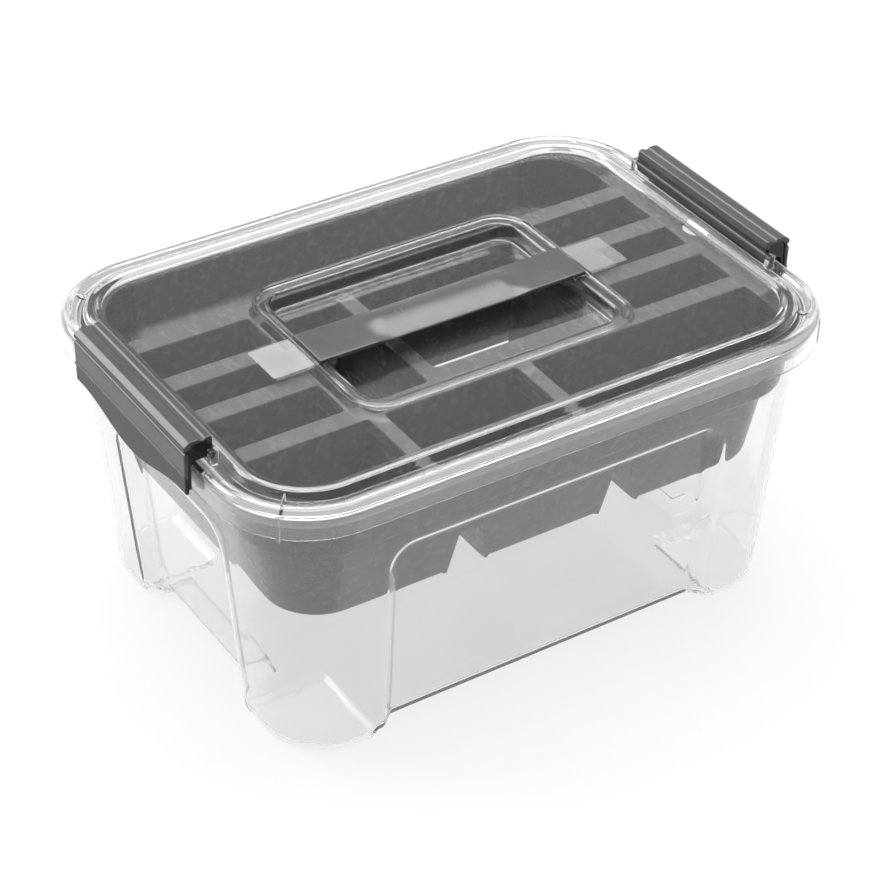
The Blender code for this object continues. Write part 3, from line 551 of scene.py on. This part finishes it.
humps = [wedge("hump_%d" % k, x, 0.0152, 0.0097, 0.0888, 0.1202, -0.1088, -o1 + 0.004, 0.0030) for k, x in enumerate((-0.053, 0.053))]
gaps = [wedge("gap_%d" % k, x, 0.0137, 0.0075, 0.0840, 0.1180, -0.1400, -o1 - 0.002, 0.0030) for k, x in enumerate((-0.053, 0.053))]
cut(tray, cells)
cut(tray, humps, "UNION")
hollows = []
for s in (-1, 1):
    ya, yb = sorted((s * o0, s * o1))
    for xa, xb, top in ((-0.158, -0.0995, 0.177), (0.0995, 0.158, 0.177), (-0.096, 0.096, 0.1685)):
        hollows.append(((xa + xb) / 2, (ya + yb) / 2, (xb - xa) / 2, (yb - ya) / 2 - WALL, top))
    ya, yb = sorted((s * i0, s * i1))
    for xa, xb in ((-0.158, -0.101), (0.101, 0.158)):
        hollows.append(((xa + xb) / 2, (ya + yb) / 2, (xb - xa) / 2, (yb - ya) / 2 - WALL, 0.177))
under_cuts = []
for k, (cx, cy, a, b, top) in enumerate(hollows):
    g = Ring([], [], np.linspace(0, 90, 4))
    under_cuts.append(skin("hollow_%d" % k, [g.at(a + 0.0024, b + 0.0024, 0.0012, 0.0840, cx, cy), g.at(a, b, 0.0012, top, cx, cy)]))
g = Ring([], [], np.linspace(0, 90, 9))
scoops = [skin("scoop_%d" % k, [g.at(*q, s * 0.1895, 0) for q in rounded([(0.0090, 0.0090, 0.0088, 0.1690, 0), (0.0106, 0.0106, 0.0104, 0.1692, 0.0010), (0.0110, 0.0110, 0.0108, 0.1784, 0.0010), (0.0120, 0.0120, 0.0118, 0.1796, 0.0002), (0.0120, 0.0120, 0.0118, 0.1860, 0)])]) for k, s in enumerate((-1, 1))]
cut(tray, gaps + under_cuts + scoops)
smooth(tray, 40, weighted=True)
# top=0.13 is a painted highlight on up-facing faces; corner=0.014 is painted shade at the rounded corners
dress(tray, smoke_plastic("smoke_tray_plastic", 0.075, 0.083, 0.26, grain_s=0.03, wave=0.012, top=0.13, corner=0.014))
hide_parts("tray_back_row", "tray_front_left", "tray_front_middle", "tray_front_right", "tray_left_cells", "tray_right_cells", "tray_middle_wells")
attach(tray, "tray")

# ---------------------------------------------------------------- handle grip
GH, GW = 0.0922, 0.0310


def grip_ring(x, shrink=0.0):
    u = abs(x) / GH
    k = float(1.0 - step(u, 0.44, 0.60))
    ends = float(step(u, 0.60, 1.0))
    top = 0.1884 + 0.0024 * k + 0.0003 * ends - shrink
    low = 0.1852 - 0.0006 * k + 0.0002 * ends + shrink
    w = GW / 2 - 0.0006 * k - shrink
    peak = 0.25
    front, rear = 0.0006 + 0.0042 * k, 0.0004 + 0.0024 * k

    def crown(y):
        d = (y - peak) / (1 + peak) if y < peak else (y - peak) / (1 - peak)
        return top - (front if y < peak else rear) * abs(d) ** 1.7

    pts = [(-w, low, 0.0008), (-w, crown(-1.0) - 0.0001, 0.0007)]
    pts += [(y * w, crown(y), 0.0) for y in (-0.9, -0.78, -0.64, -0.5, -0.36, -0.22, -0.08, 0.06, 0.2, 0.34, 0.48, 0.62, 0.76, 0.9)]
    pts += [(w, crown(1.0) - 0.0001, 0.0007), (w, low, 0.0008)]
    n = len(pts)
    out = []
    for i, (y, z, r) in enumerate(pts):
        p = np.array([y, z])
        if r <= 0:
            out.append(p)
            continue
        a, b = np.array(pts[i - 1][:2]) - p, np.array(pts[(i + 1) % n][:2]) - p
        la, lb = np.linalg.norm(a), np.linalg.norm(b)
        d = min(r, 0.45 * la, 0.45 * lb)
        for t in np.linspace(0, 1, 5):
            out.append((1 - t) ** 2 * (p + a / la * d) + 2 * t * (1 - t) * p + t * t * (p + b / lb * d))
    return np.array([(x, q[0], q[1]) for q in out])


xs = np.concatenate([np.linspace(-0.0916, -0.060, 8), np.linspace(-0.058, -0.036, 15), np.linspace(-0.032, 0.032, 9), np.linspace(0.036, 0.058, 15), np.linspace(0.060, 0.0916, 8)])
grip_rings = [grip_ring(-GH, 0.0007), grip_ring(-GH + 0.0002, 0.0003)] + [grip_ring(x) for x in xs] + [grip_ring(GH - 0.0002, 0.0003), grip_ring(GH, 0.0007)]
grip = skin("handle_grip_strap", grip_rings)
smooth(grip, 50, weighted=True)
dress(grip, smoke_plastic("smoke_grip_plastic", 0.050, 0.070, 0.24, coat=0.0, grain_s=0.03, wave=0.10, ior=1.52))
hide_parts("handle_grip")
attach(grip, "handle")

# tongues: a post under the grip and a strap that bends where it slides out under the lid
for s, name in ((-1, "left"), (1, "right")):
    pts = [(0.0790, 0.1851, 0), (0.0790, 0.1796, 0.0012), (0.1180, 0.1796, 0.0005), (0.1180, 0.1812, 0.0005), (0.0842, 0.1812, 0.0010), (0.0842, 0.1851, 0)]
    prof = []
    for p in rounded(pts, 5):
        prof.append(p)
    dense = [prof[0]]
    for p, q in zip(prof[:-1], prof[1:]):
        n = max(1, int(np.linalg.norm(q - p) / 0.0015))
        dense += [p + (q - p) * k / n for k in range(1, n + 1)]
    rows = []
    for y, sh in ((-0.0120, 0.0004), (-0.0116, 0.0), (-0.006, 0.0), (0.0, 0.0), (0.006, 0.0), (0.0116, 0.0), (0.0120, 0.0004)):
        rows.append(np.array([(s * (p[0]), y, p[1] + (0.0002 if sh and p[1] < 0.1804 else -0.0002 if sh else 0.0)) for p in dense]))
    tongue = skin("handle_tongue_" + name + "_strap", rows)
    smooth(tongue, 40)
    dress(tongue, smoke_plastic("smoke_tongue_plastic_" + name, 0.11, 0.14, 0.20, coat=0.3, grain_s=0.04))
    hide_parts("handle_tongue_" + name)
    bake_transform(tongue)

# frosted landings beside the pocket, where the strap slides under the plate
for k, s in enumerate((-1, 1)):
    pad = block("lid_landing_%d" % k, min(s * 0.0953, s * 0.1222), max(s * 0.0953, s * 0.1222), -0.0155, 0.0155, PLATE_Z - 0.00058, PLATE_Z - 0.00005, 0.0014, 0.00012, 4)
    smooth(pad, 40)
    m, t, p = nodes_of("frosted_landing_%d" % k)
    co = t.nodes.new("ShaderNodeTexCoord").outputs["Object"]
    t.links.new(ramp(t, noise(t, co, 60.0, 3.0), [(0.3, 0.38), (0.7, 0.46)]), p.inputs["Base Color"])
    t.links.new(ramp(t, noise(t, co, 900.0, 3.0), [(0.3, 0.38), (0.7, 0.52)]), p.inputs["Roughness"])
    t.links.new(bumped(t, [(grain(t, co, 0.7), 0.2, 0.0001)]), p.inputs["Normal"])
    p.inputs["Alpha"].default_value = (0.36, 0.20)[k]
    dress(pad, m)
    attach(pad, "lid")


# ---------------------------------------------------------------- clips
def clip_ring(s, y, u, grow=0.0):
    """Inverted U, outer face in two planes; grow pulls the wall in at the ends."""
    k = 0.5 + 0.5 * math.cos(math.pi * min(abs(u) / 0.90, 1.0))
    zlow = 0.1690 - 0.0100 * k
    t, g = 0.0022, grow
    inn, top = 0.1884, 0.2030
    outside = [(inn, 0.1886, 0.0003), (inn, 0.2010, 0.0010), (0.1893, top, 0.0010), (0.1926, 0.2027, 0.0006), (0.1933, 0.2018, 0.0005), (0.1958, 0.2018, 0.0005),
               (0.1967, 0.2028, 0.0008), (0.2020, top, 0.0022), (0.2060, 0.2000, 0.0026), (0.2060, 0.1980, 0.0004), (0.2047, 0.1973, 0.0004), (0.2047, 0.1957, 0.0004),
               (0.2060, 0.1949, 0.0006), (0.2058, 0.1818, 0.0003), (0.2065, 0.1811, 0.0005), (0.2065, 0.1804, 0.0003), (0.2058, 0.1797, 0.0003), (0.2057, zlow, 0.0009)]
    inside = [(0.2057 - t, zlow, 0.0009), (0.2037, 0.1800, 0.0010), (0.2030, 0.1965, 0.0020), (0.2010, 0.2004, 0.0020), (0.1912, 0.2004, 0.0012), (0.1906, 0.1990, 0.0008), (0.1906, 0.1886, 0.0003)]
    mid = np.array([0.2000, 0.1900])
    pts = []
    for x, z, r in outside:
        pts.append((x + (g if x < 0.1920 else -g if x > 0.2010 else 0.0), z - (g if z > 0.1995 else -g if z < 0.1700 else 0.0), r))
    for x, z, r in inside:
        pts.append((x + (-g if x < 0.1920 else g if x > 0.2010 else 0.0), z + (g if 0.1980 < z or z < 0.1700 else 0.0), r))
    n = len(pts)
    ring = []
    for i, (x, z, r) in enumerate(pts):
        p = np.array([x, z])
        a, b = np.array(pts[i - 1][:2]) - p, np.array(pts[(i + 1) % n][:2]) - p
        la, lb = np.linalg.norm(a), np.linalg.norm(b)
        d = min(r, 0.45 * la, 0.45 * lb)
        for w in np.linspace(0, 1, 5):
            ring.append((1 - w) ** 2 * (p + a / la * d) + 2 * w * (1 - w) * p + w * w * (p + b / lb * d))
    return np.array([(s * q[0], y, q[1]) for q in ring])


for s, name in ((-1, "left"), (1, "right")):
    us = np.concatenate([[-0.999, -0.994], np.linspace(-0.985, 0.985, 41), [0.994, 0.999]])
    rows = [clip_ring(s, -CLIP_HALF, -1.0, 0.00055), clip_ring(s, -CLIP_HALF + 0.0001, -1.0, 0.0003)]
    rows += [clip_ring(s, u * CLIP_HALF, u) for u in us[1:-1]]
    rows += [clip_ring(s, CLIP_HALF - 0.0001, 1.0, 0.0003), clip_ring(s, CLIP_HALF, 1.0, 0.00055)]
    clip = skin("clip_" + name + "_shell", rows)
    smooth(clip, 50, weighted=True)
    # painted shade: the lower outer face below z 0.18 and the groove under the top are coloured darker
    clip_mat = smoke_plastic("smoke_clip_plastic_" + name, 0.052, 0.066, 0.12, coat=0.0, grain_s=0.015, wave=0.02, ior=1.36, shade_band=(0.1800, 0.0004, 0.003), groove_shade=(0.1950, 0.1981, 0.004))
    dress(clip, clip_mat)
    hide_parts("clip_" + name)
    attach(clip, "clip_" + name)
    # a web closes each end of the clip, clear of the lid's edge; its near-black colour is painted shade in the clip's
    # mouth
    end_web_shade_mat = smoke_plastic("smoke_clip_end_shade_" + name, 0.009, 0.014, 0.22, grain_s=0.02, wave=0.01, ior=1.36)
    prof = rounded([(0.1900, 0.1893, 0.0003), (0.2004, 0.1893, 0.0006), (0.2014, 0.1880, 0.0006), (0.2016, 0.1712, 0.0004), (0.2046, 0.1712, 0.0004), (0.2042, 0.1960, 0.0004), (0.2026, 0.2014, 0.0010), (0.1896, 0.2014, 0.0006)], 4)
    for k, e in enumerate((-1, 1)):
        ends = sorted((e * (CLIP_HALF - 0.0030), e * (CLIP_HALF - 0.0010)))
        web = skin("clip_%s_end_%d" % (name, k), [np.array([(s * q[0], y, q[1]) for q in prof]) for y in ends])
        smooth(web, 40)
        dress(web, end_web_shade_mat)
        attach(web, "clip_" + name)
    # hinge barrel and pins
    g = np.linspace(0, 2 * math.pi, 25)[:-1]
    rows = []
    for y, rad in ((-0.0674, 0.0009), (-0.0672, 0.0012), (-0.0646, 0.0012), (-0.0645, 0.0018), (-0.0642, 0.0021), (0.0642, 0.0021), (0.0645, 0.0018), (0.0646, 0.0012), (0.0672, 0.0012), (0.0674, 0.0009)):
        rows.append(np.array([(s * HINGE_X + rad * math.cos(t), y, HINGE_Z + rad * math.sin(t)) for t in g]))
    pin = skin("clip_" + name + "_barrel", rows)
    smooth(pin, 40)
    dress(pin, clip_mat)
    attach(pin, "clip_" + name)

# ---------------------------------------------------------------- floor, light, camera
bm = bmesh.new()
bmesh.ops.create_grid(bm, x_segments=24, y_segments=24, size=6.0)
me = bpy.data.meshes.new("floor")
bm.to_mesh(me)
bm.free()
ground = put(me, "floor")
ground.location.z = 0.0002
m, t, p = nodes_of("studio_floor")
co = t.nodes.new("ShaderNodeTexCoord").outputs["Object"]
t.links.new(ramp(t, noise(t, co, 6.0, 3.0), [(0.3, 0.105), (0.7, 0.115)]), p.inputs["Base Color"])
p.inputs["Roughness"].default_value = 0.9
p.inputs["Specular IOR Level"].default_value = 0.0
p.inputs["Emission Color"].default_value = (1, 1, 1, 1)
p.inputs["Emission Strength"].default_value = 0.82
dress(ground, m)

az, el, roll, dist, f_px = math.radians(-33.6567), math.radians(35.7288), math.radians(1.3138), 1.6281, 2692.66
back = Vector((math.sin(az) * math.cos(el), -math.cos(az) * math.cos(el), math.sin(el)))
target = Vector((-0.0004, -0.0014, 0.0900))
fwd = -back
right = fwd.cross(Vector((0, 0, 1))).normalized()
up = right.cross(fwd)
r2 = right * math.cos(roll) + up * math.sin(roll)
u2 = -right * math.sin(roll) + up * math.cos(roll)
cam_data = bpy.data.cameras.new("camera")
cam_data.sensor_width = 36.0
cam_data.sensor_fit = "HORIZONTAL"
cam_data.lens = f_px / 880.0 * 36.0
cam_data.clip_start, cam_data.clip_end = 0.05, 40.0
cam = bpy.data.objects.new("camera", cam_data)
scene.collection.objects.link(cam)
rot = Matrix((r2, u2, back)).transposed()
cam.matrix_world = Matrix.Translation(target + back * dist) @ rot.to_4x4()
scene.camera = cam

world = bpy.data.worlds.new("studio")
scene.world = world
world.use_nodes = True
t = world.node_tree
t.nodes.clear()
out = t.nodes.new("ShaderNodeOutputWorld")
bg = t.nodes.new("ShaderNodeBackground")
t.links.new(bg.outputs["Background"], out.inputs["Surface"])
gen = t.nodes.new("ShaderNodeTexCoord").outputs["Generated"]


def math_node(op, a, b=None, clamp=False):
    n = t.nodes.new("ShaderNodeMath")
    n.operation = op
    n.use_clamp = clamp
    for k, v in enumerate((a, b)):
        if v is None:
            continue
        if isinstance(v, (int, float)):
            n.inputs[k].default_value = v
        else:
            t.links.new(v, n.inputs[k])
    return n.outputs[0]


def lobe(direction, cos_in, cos_out):
    """1 inside a round patch of sky, 0 outside it."""
    d = t.nodes.new("ShaderNodeVectorMath")
    d.operation = "DOT_PRODUCT"
    t.links.new(gen, d.inputs[0])
    d.inputs[1].default_value = Vector(direction).normalized()
    mr = t.nodes.new("ShaderNodeMapRange")
    mr.interpolation_type = "SMOOTHSTEP"
    mr.inputs["From Min"].default_value = cos_out
    mr.inputs["From Max"].default_value = cos_in
    t.links.new(d.outputs["Value"], mr.inputs["Value"])
    return mr.outputs["Result"]


sky = math_node("MULTIPLY", lobe((0, 0, 1), 1.0, -1.0), 0.12)
sky = math_node("ADD", sky, 0.68)
sky = math_node("SUBTRACT", sky, math_node("MULTIPLY", lobe((0.45, 0.676, 0.62), 0.93, 0.70), 0.12))
sky = math_node("ADD", sky, math_node("MULTIPLY", lobe((0.14, 0.22, 0.966), 0.925, 0.870), 8.5))
sky = math_node("ADD", sky, math_node("MULTIPLY", lobe((-0.46, 0.68, 0.57), 0.975, 0.925), 11.0))
sky = math_node("MAXIMUM", sky, 0.0)
t.links.new(sky, bg.inputs["Strength"])

scene.view_settings.view_transform = "Standard"
scene.view_settings.look = "None"
scene.view_settings.exposure = 0.0
scene.cycles.max_bounces = 80
scene.cycles.transmission_bounces = 76
scene.cycles.transparent_max_bounces = 24
scene.cycles.glossy_bounces = 12
scene.cycles.diffuse_bounces = 4
scene.cycles.sample_clamp_indirect = 6.0

bpy.context.view_layer.update()
